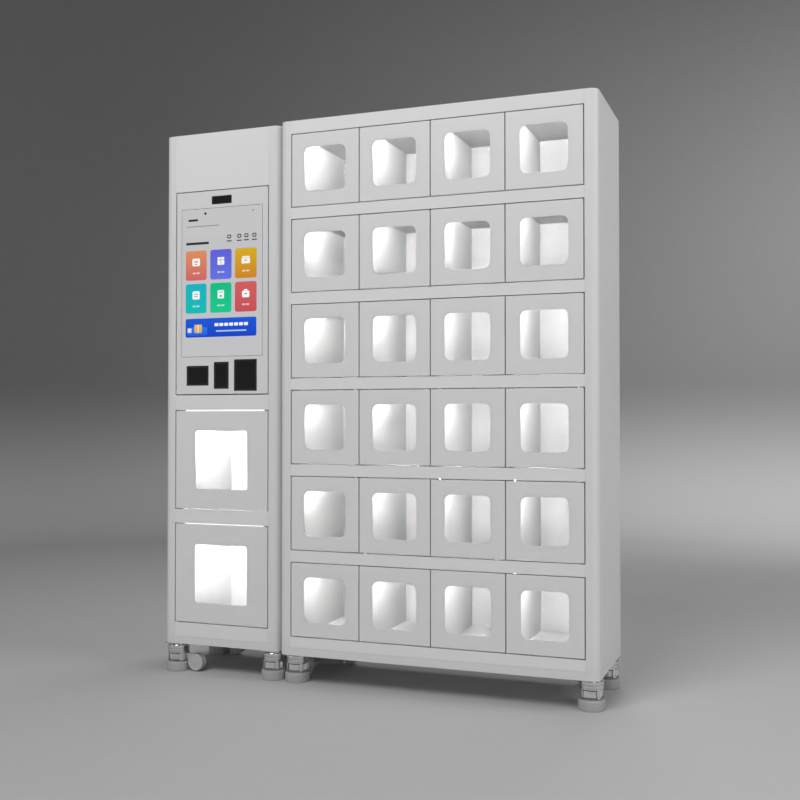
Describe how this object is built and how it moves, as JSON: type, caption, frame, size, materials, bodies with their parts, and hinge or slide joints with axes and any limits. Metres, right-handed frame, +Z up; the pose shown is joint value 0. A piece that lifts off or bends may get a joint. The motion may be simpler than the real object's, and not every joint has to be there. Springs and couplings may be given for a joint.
{
  "type": "parcel locker",
  "caption": "Free-standing parcel locker with a narrow control cabinet carrying a portrait touch screen, a grid of windowed locker doors, and levelling casters.",
  "frame": {"origin": "middle of the footprint, on the floor", "axes": "+Z up, the doors face -Y, the control cabinet is at -X"},
  "size_m": [1.6014, 0.405, 1.952],
  "materials": {
    "powder_coat": "fine satin powder coat",
    "powder_coat_inside": "fine satin powder coat",
    "lock_steel": "zinc plated",
    "light_cover": "frosted",
    "screen": "glossy",
    "reader": "glossy",
    "electronics": "plain",
    "caster_steel": "polished",
    "wheel": "plain",
    "pad": "matte"
  },
  "bodies": {
    "cabinets": {"control_cabinet": "powder_coat", "locker_cabinet": "powder_coat", "cell_walls": "powder_coat_inside", "door_locks": "lock_steel", "led_bars": "light_cover", "control_electronics": "electronics", "caster_mounts": "caster_steel"},
    "control_door": {"control_door": "powder_coat", "touch_screen": "screen", "reader_modules": "reader"},
    "compartment_door_upper": {"compartment_door_upper": "powder_coat"},
    "compartment_door_lower": {"compartment_door_lower": "powder_coat"},
    "locker_door_r1_c1": {"locker_door_r1_c1": "powder_coat"},
    "locker_door_r1_c2": {"locker_door_r1_c2": "powder_coat"},
    "locker_door_r1_c3": {"locker_door_r1_c3": "powder_coat"},
    "locker_door_r1_c4": {"locker_door_r1_c4": "powder_coat"},
    "locker_door_r2_c1": {"locker_door_r2_c1": "powder_coat"},
    "locker_door_r2_c2": {"locker_door_r2_c2": "powder_coat"},
    "locker_door_r2_c3": {"locker_door_r2_c3": "powder_coat"},
    "locker_door_r2_c4": {"locker_door_r2_c4": "powder_coat"},
    "locker_door_r3_c1": {"locker_door_r3_c1": "powder_coat"},
    "locker_door_r3_c2": {"locker_door_r3_c2": "powder_coat"},
    "locker_door_r3_c3": {"locker_door_r3_c3": "powder_coat"},
    "locker_door_r3_c4": {"locker_door_r3_c4": "powder_coat"},
    "locker_door_r4_c1": {"locker_door_r4_c1": "powder_coat"},
    "locker_door_r4_c2": {"locker_door_r4_c2": "powder_coat"},
    "locker_door_r4_c3": {"locker_door_r4_c3": "powder_coat"},
    "locker_door_r4_c4": {"locker_door_r4_c4": "powder_coat"},
    "locker_door_r5_c1": {"locker_door_r5_c1": "powder_coat"},
    "locker_door_r5_c2": {"locker_door_r5_c2": "powder_coat"},
    "locker_door_r5_c3": {"locker_door_r5_c3": "powder_coat"},
    "locker_door_r5_c4": {"locker_door_r5_c4": "powder_coat"},
    "locker_door_r6_c1": {"locker_door_r6_c1": "powder_coat"},
    "locker_door_r6_c2": {"locker_door_r6_c2": "powder_coat"},
    "locker_door_r6_c3": {"locker_door_r6_c3": "powder_coat"},
    "locker_door_r6_c4": {"locker_door_r6_c4": "powder_coat"},
    "swivel_control_front_left": {"swivel_control_front_left": "caster_steel"},
    "wheel_control_front_left": {"wheel_control_front_left": "wheel"},
    "foot_control_front_left": {"foot_control_front_left": "pad"},
    "swivel_control_front_right": {"swivel_control_front_right": "caster_steel"},
    "wheel_control_front_right": {"wheel_control_front_right": "wheel"},
    "foot_control_front_right": {"foot_control_front_right": "pad"},
    "swivel_control_rear_left": {"swivel_control_rear_left": "caster_steel"},
    "wheel_control_rear_left": {"wheel_control_rear_left": "wheel"},
    "foot_control_rear_left": {"foot_control_rear_left": "pad"},
    "swivel_control_rear_right": {"swivel_control_rear_right": "caster_steel"},
    "wheel_control_rear_right": {"wheel_control_rear_right": "wheel"},
    "foot_control_rear_right": {"foot_control_rear_right": "pad"},
    "swivel_locker_front_left": {"swivel_locker_front_left": "caster_steel"},
    "wheel_locker_front_left": {"wheel_locker_front_left": "wheel"},
    "foot_locker_front_left": {"foot_locker_front_left": "pad"},
    "swivel_locker_front_right": {"swivel_locker_front_right": "caster_steel"},
    "wheel_locker_front_right": {"wheel_locker_front_right": "wheel"},
    "foot_locker_front_right": {"foot_locker_front_right": "pad"},
    "swivel_locker_rear_left": {"swivel_locker_rear_left": "caster_steel"},
    "wheel_locker_rear_left": {"wheel_locker_rear_left": "wheel"},
    "foot_locker_rear_left": {"foot_locker_rear_left": "pad"},
    "swivel_locker_rear_right": {"swivel_locker_rear_right": "caster_steel"},
    "wheel_locker_rear_right": {"wheel_locker_rear_right": "wheel"},
    "foot_locker_rear_right": {"foot_locker_rear_right": "pad"}
  },
  "joints": [
    {"name": "control_door_hinge", "type": "hinge", "parent": "cabinets", "child": "control_door", "pos_m": [-0.74275, -0.165, 1.373], "axis": [0, 0, -1], "range_deg": [0, 110]},
    {"name": "compartment_door_upper_hinge", "type": "hinge", "parent": "cabinets", "child": "compartment_door_upper", "pos_m": [-0.74275, -0.165, 0.7685], "axis": [0, 0, -1], "range_deg": [0, 110]},
    {"name": "compartment_door_lower_hinge", "type": "hinge", "parent": "cabinets", "child": "compartment_door_lower", "pos_m": [-0.74275, -0.165, 0.359], "axis": [0, 0, -1], "range_deg": [0, 110]},
    {"name": "locker_door_r1_c1_hinge", "type": "hinge", "parent": "cabinets", "child": "locker_door_r1_c1", "pos_m": [-0.25875, -0.196, 1.7775], "axis": [0, 0, -1], "range_deg": [0, 110]},
    {"name": "locker_door_r6_c4_hinge", "type": "hinge", "parent": "cabinets", "child": "locker_door_r6_c4", "pos_m": [0.50475, -0.196, 0.295], "axis": [0, 0, -1], "range_deg": [0, 110]},
    {"name": "locker_door_r3_c2_hinge", "type": "hinge", "parent": "cabinets", "child": "locker_door_r3_c2", "pos_m": [-0.00425, -0.196, 1.1845], "axis": [0, 0, -1], "range_deg": [0, 110]},
    {"name": "locker_door_r1_c4_hinge", "type": "hinge", "parent": "cabinets", "child": "locker_door_r1_c4", "pos_m": [0.50475, -0.196, 1.7775], "axis": [0, 0, -1], "range_deg": [0, 110]},
    {"name": "swivel_control_front_left_turn", "type": "hinge", "parent": "cabinets", "child": "swivel_control_front_left", "pos_m": [-0.75775, -0.1355, 0.097], "axis": [0, 0, 1], "continuous": true},
    {"name": "wheel_control_front_left_spin", "type": "hinge", "parent": "swivel_control_front_left", "child": "wheel_control_front_left", "pos_m": [-0.67975, -0.1355, 0.033], "axis": [0, 1, 0], "continuous": true},
    {"name": "foot_control_front_left_height", "type": "slide", "parent": "swivel_control_front_left", "child": "foot_control_front_left", "axis": [0, 0, 1], "range_m": [-0.01, 0.003]},
    {"name": "swivel_control_front_right_turn", "type": "hinge", "parent": "cabinets", "child": "swivel_control_front_right", "pos_m": [-0.36675, -0.1355, 0.097], "axis": [0, 0, 1], "range_deg": [0, 175]},
    {"name": "swivel_control_rear_right_turn", "type": "hinge", "parent": "cabinets", "child": "swivel_control_rear_right", "pos_m": [-0.36675, 0.1595, 0.097], "axis": [0, 0, 1], "range_deg": [-85, 85]},
    {"name": "swivel_locker_front_left_turn", "type": "hinge", "parent": "cabinets", "child": "swivel_locker_front_left", "pos_m": [-0.27375, -0.1355, 0.097], "axis": [0, 0, 1], "range_deg": [-175, 0]},
    {"name": "foot_locker_front_right_height", "type": "slide", "parent": "swivel_locker_front_right", "child": "foot_locker_front_right", "axis": [0, 0, 1], "range_m": [-0.01, 0.003]},
    {"name": "locker_door_r1_c2_hinge", "type": "hinge", "parent": "cabinets", "child": "locker_door_r1_c2", "pos_m": [-0.00425, -0.196, 1.7775], "axis": [0, 0, -1], "range_deg": [0, 110]},
    {"name": "locker_door_r1_c3_hinge", "type": "hinge", "parent": "cabinets", "child": "locker_door_r1_c3", "pos_m": [0.25025, -0.196, 1.7775], "axis": [0, 0, -1], "range_deg": [0, 110]},
    {"name": "locker_door_r2_c1_hinge", "type": "hinge", "parent": "cabinets", "child": "locker_door_r2_c1", "pos_m": [-0.25875, -0.196, 1.481], "axis": [0, 0, -1], "range_deg": [0, 110]},
    {"name": "locker_door_r2_c2_hinge", "type": "hinge", "parent": "cabinets", "child": "locker_door_r2_c2", "pos_m": [-0.00425, -0.196, 1.481], "axis": [0, 0, -1], "range_deg": [0, 110]},
    {"name": "locker_door_r2_c3_hinge", "type": "hinge", "parent": "cabinets", "child": "locker_door_r2_c3", "pos_m": [0.25025, -0.196, 1.481], "axis": [0, 0, -1], "range_deg": [0, 110]},
    {"name": "locker_door_r2_c4_hinge", "type": "hinge", "parent": "cabinets", "child": "locker_door_r2_c4", "pos_m": [0.50475, -0.196, 1.481], "axis": [0, 0, -1], "range_deg": [0, 110]},
    {"name": "locker_door_r3_c1_hinge", "type": "hinge", "parent": "cabinets", "child": "locker_door_r3_c1", "pos_m": [-0.25875, -0.196, 1.1845], "axis": [0, 0, -1], "range_deg": [0, 110]},
    {"name": "locker_door_r3_c3_hinge", "type": "hinge", "parent": "cabinets", "child": "locker_door_r3_c3", "pos_m": [0.25025, -0.196, 1.1845], "axis": [0, 0, -1], "range_deg": [0, 110]},
    {"name": "locker_door_r3_c4_hinge", "type": "hinge", "parent": "cabinets", "child": "locker_door_r3_c4", "pos_m": [0.50475, -0.196, 1.1845], "axis": [0, 0, -1], "range_deg": [0, 110]},
    {"name": "locker_door_r4_c1_hinge", "type": "hinge", "parent": "cabinets", "child": "locker_door_r4_c1", "pos_m": [-0.25875, -0.196, 0.888], "axis": [0, 0, -1], "range_deg": [0, 110]},
    {"name": "locker_door_r4_c2_hinge", "type": "hinge", "parent": "cabinets", "child": "locker_door_r4_c2", "pos_m": [-0.00425, -0.196, 0.888], "axis": [0, 0, -1], "range_deg": [0, 110]},
    {"name": "locker_door_r4_c3_hinge", "type": "hinge", "parent": "cabinets", "child": "locker_door_r4_c3", "pos_m": [0.25025, -0.196, 0.888], "axis": [0, 0, -1], "range_deg": [0, 110]},
    {"name": "locker_door_r4_c4_hinge", "type": "hinge", "parent": "cabinets", "child": "locker_door_r4_c4", "pos_m": [0.50475, -0.196, 0.888], "axis": [0, 0, -1], "range_deg": [0, 110]},
    {"name": "locker_door_r5_c1_hinge", "type": "hinge", "parent": "cabinets", "child": "locker_door_r5_c1", "pos_m": [-0.25875, -0.196, 0.5915], "axis": [0, 0, -1], "range_deg": [0, 110]},
    {"name": "locker_door_r5_c2_hinge", "type": "hinge", "parent": "cabinets", "child": "locker_door_r5_c2", "pos_m": [-0.00425, -0.196, 0.5915], "axis": [0, 0, -1], "range_deg": [0, 110]},
    {"name": "locker_door_r5_c3_hinge", "type": "hinge", "parent": "cabinets", "child": "locker_door_r5_c3", "pos_m": [0.25025, -0.196, 0.5915], "axis": [0, 0, -1], "range_deg": [0, 110]},
    {"name": "locker_door_r5_c4_hinge", "type": "hinge", "parent": "cabinets", "child": "locker_door_r5_c4", "pos_m": [0.50475, -0.196, 0.5915], "axis": [0, 0, -1], "range_deg": [0, 110]},
    {"name": "locker_door_r6_c1_hinge", "type": "hinge", "parent": "cabinets", "child": "locker_door_r6_c1", "pos_m": [-0.25875, -0.196, 0.295], "axis": [0, 0, -1], "range_deg": [0, 110]},
    {"name": "locker_door_r6_c2_hinge", "type": "hinge", "parent": "cabinets", "child": "locker_door_r6_c2", "pos_m": [-0.00425, -0.196, 0.295], "axis": [0, 0, -1], "range_deg": [0, 110]},
    {"name": "locker_door_r6_c3_hinge", "type": "hinge", "parent": "cabinets", "child": "locker_door_r6_c3", "pos_m": [0.25025, -0.196, 0.295], "axis": [0, 0, -1], "range_deg": [0, 110]},
    {"name": "wheel_control_front_right_spin", "type": "hinge", "parent": "swivel_control_front_right", "child": "wheel_control_front_right", "pos_m": [-0.36675, -0.0575, 0.033], "axis": [-1, 0, 0], "continuous": true},
    {"name": "foot_control_front_right_height", "type": "slide", "parent": "swivel_control_front_right", "child": "foot_control_front_right", "axis": [0, 0, 1], "range_m": [-0.01, 0.003]},
    {"name": "swivel_control_rear_left_turn", "type": "hinge", "parent": "cabinets", "child": "swivel_control_rear_left", "pos_m": [-0.75775, 0.1595, 0.097], "axis": [0, 0, 1], "continuous": true},
    {"name": "wheel_control_rear_left_spin", "type": "hinge", "parent": "swivel_control_rear_left", "child": "wheel_control_rear_left", "pos_m": [-0.67975, 0.1595, 0.033], "axis": [0, 1, 0], "continuous": true},
    {"name": "foot_control_rear_left_height", "type": "slide", "parent": "swivel_control_rear_left", "child": "foot_control_rear_left", "axis": [0, 0, 1], "range_m": [-0.01, 0.003]},
    {"name": "wheel_control_rear_right_spin", "type": "hinge", "parent": "swivel_control_rear_right", "child": "wheel_control_rear_right", "pos_m": [-0.44475, 0.1595, 0.033], "axis": [0, -1, 0], "continuous": true},
    {"name": "foot_control_rear_right_height", "type": "slide", "parent": "swivel_control_rear_right", "child": "foot_control_rear_right", "axis": [0, 0, 1], "range_m": [-0.01, 0.003]},
    {"name": "wheel_locker_front_left_spin", "type": "hinge", "parent": "swivel_locker_front_left", "child": "wheel_locker_front_left", "pos_m": [-0.27375, -0.0575, 0.033], "axis": [-1, 0, 0], "continuous": true},
    {"name": "foot_locker_front_left_height", "type": "slide", "parent": "swivel_locker_front_left", "child": "foot_locker_front_left", "axis": [0, 0, 1], "range_m": [-0.01, 0.003]},
    {"name": "swivel_locker_front_right_turn", "type": "hinge", "parent": "cabinets", "child": "swivel_locker_front_right", "pos_m": [0.75775, -0.1355, 0.097], "axis": [0, 0, 1], "continuous": true},
    {"name": "wheel_locker_front_right_spin", "type": "hinge", "parent": "swivel_locker_front_right", "child": "wheel_locker_front_right", "pos_m": [0.75775, -0.0575, 0.033], "axis": [-1, 0, 0], "continuous": true},
    {"name": "swivel_locker_rear_left_turn", "type": "hinge", "parent": "cabinets", "child": "swivel_locker_rear_left", "pos_m": [-0.27375, 0.1595, 0.097], "axis": [0, 0, 1], "range_deg": [-85, 85]},
    {"name": "wheel_locker_rear_left_spin", "type": "hinge", "parent": "swivel_locker_rear_left", "child": "wheel_locker_rear_left", "pos_m": [-0.19575, 0.1595, 0.033], "axis": [0, 1, 0], "continuous": true},
    {"name": "foot_locker_rear_left_height", "type": "slide", "parent": "swivel_locker_rear_left", "child": "foot_locker_rear_left", "axis": [0, 0, 1], "range_m": [-0.01, 0.003]},
    {"name": "swivel_locker_rear_right_turn", "type": "hinge", "parent": "cabinets", "child": "swivel_locker_rear_right", "pos_m": [0.75775, 0.1595, 0.097], "axis": [0, 0, 1], "continuous": true},
    {"name": "wheel_locker_rear_right_spin", "type": "hinge", "parent": "swivel_locker_rear_right", "child": "wheel_locker_rear_right", "pos_m": [0.67975, 0.1595, 0.033], "axis": [0, -1, 0], "continuous": true},
    {"name": "foot_locker_rear_right_height", "type": "slide", "parent": "swivel_locker_rear_right", "child": "foot_locker_rear_right", "axis": [0, 0, 1], "range_m": [-0.01, 0.003]}
  ]
}
